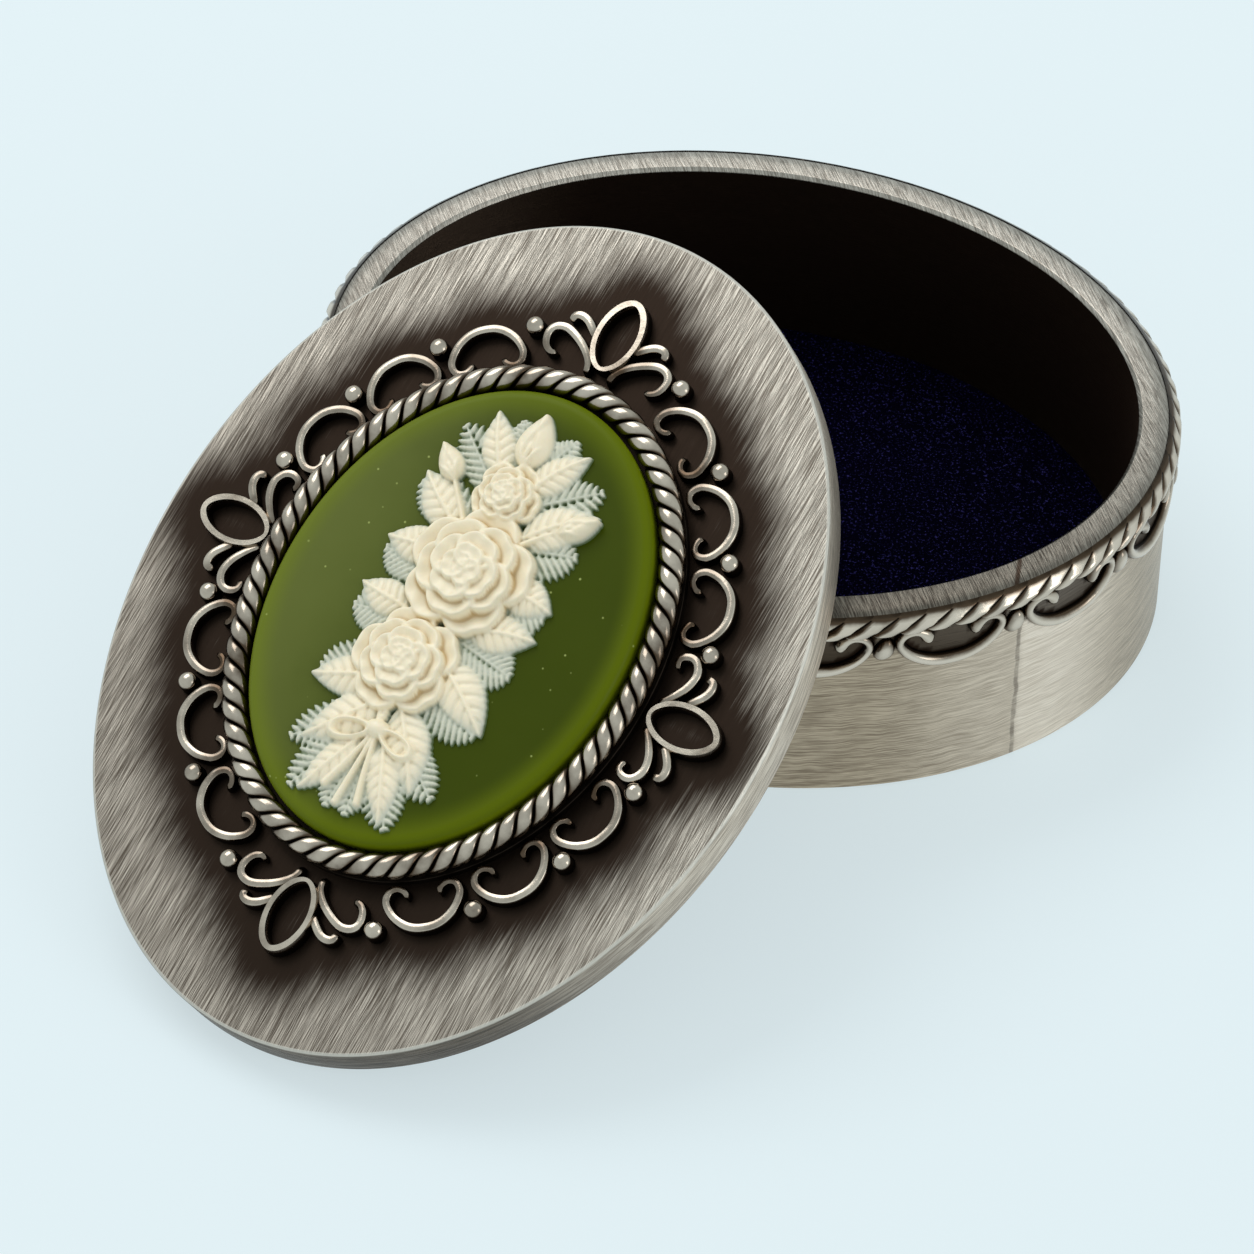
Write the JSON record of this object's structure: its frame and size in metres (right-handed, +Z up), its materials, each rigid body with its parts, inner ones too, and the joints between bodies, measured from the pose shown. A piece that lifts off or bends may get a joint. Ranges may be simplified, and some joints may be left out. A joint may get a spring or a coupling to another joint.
{
  "type": "rosary box",
  "caption": "Oval lidded keepsake box with a rope and scroll gallery, a velvet pad and a filigree-framed floral cameo on its lift-off lid.",
  "frame": {"origin": "middle of the box's flat bottom, on the surface it stands on", "axes": "+X along the box's length, +Y across it, away from the lid that leans on its near side, +Z up"},
  "size_m": [0.0793, 0.094, 0.0362],
  "materials": {
    "brushed_pewter": "brushed, antiqued",
    "dark_pewter": "dark patina",
    "antiqued_trim": "cast, polished on its high spots, dark in its hollows",
    "navy_velvet": "short pile velvet",
    "green_resin": "slightly clear, satin",
    "cream_resin": "satin"
  },
  "bodies": {
    "box": {"box_wall": "brushed_pewter", "box_floor": "brushed_pewter", "gallery_strip": "antiqued_trim", "velvet_pad": "navy_velvet"},
    "lid": {"lid_plate": "brushed_pewter", "lid_locating_ring": "dark_pewter", "bezel_plate": "dark_pewter", "rope_bezel": "antiqued_trim", "cameo_tablet": "green_resin", "cameo_relief": "cream_resin", "scroll_01": "antiqued_trim", "scroll_02": "antiqued_trim", "scroll_03": "antiqued_trim", "scroll_04": "antiqued_trim", "scroll_05": "antiqued_trim", "scroll_06": "antiqued_trim", "scroll_07": "antiqued_trim", "scroll_08": "antiqued_trim", "scroll_09": "antiqued_trim", "scroll_10": "antiqued_trim", "scroll_11": "antiqued_trim", "scroll_12": "antiqued_trim", "grain_01": "antiqued_trim", "grain_02": "antiqued_trim", "grain_03": "antiqued_trim", "grain_04": "antiqued_trim", "grain_05": "antiqued_trim", "grain_06": "antiqued_trim", "grain_07": "antiqued_trim", "grain_08": "antiqued_trim", "grain_09": "antiqued_trim", "grain_10": "antiqued_trim", "grain_11": "antiqued_trim", "grain_12": "antiqued_trim", "grain_13": "antiqued_trim", "grain_14": "antiqued_trim", "grain_15": "antiqued_trim", "grain_16": "antiqued_trim", "finial_top": "antiqued_trim", "finial_left": "antiqued_trim", "finial_bottom": "antiqued_trim", "finial_right": "antiqued_trim"}
  },
  "joints": [
    {"name": "lid_lift", "type": "slide", "parent": "box", "child": "lid", "axis": [0, 0, 1], "range_m": [0, 0.045]}
  ]
}
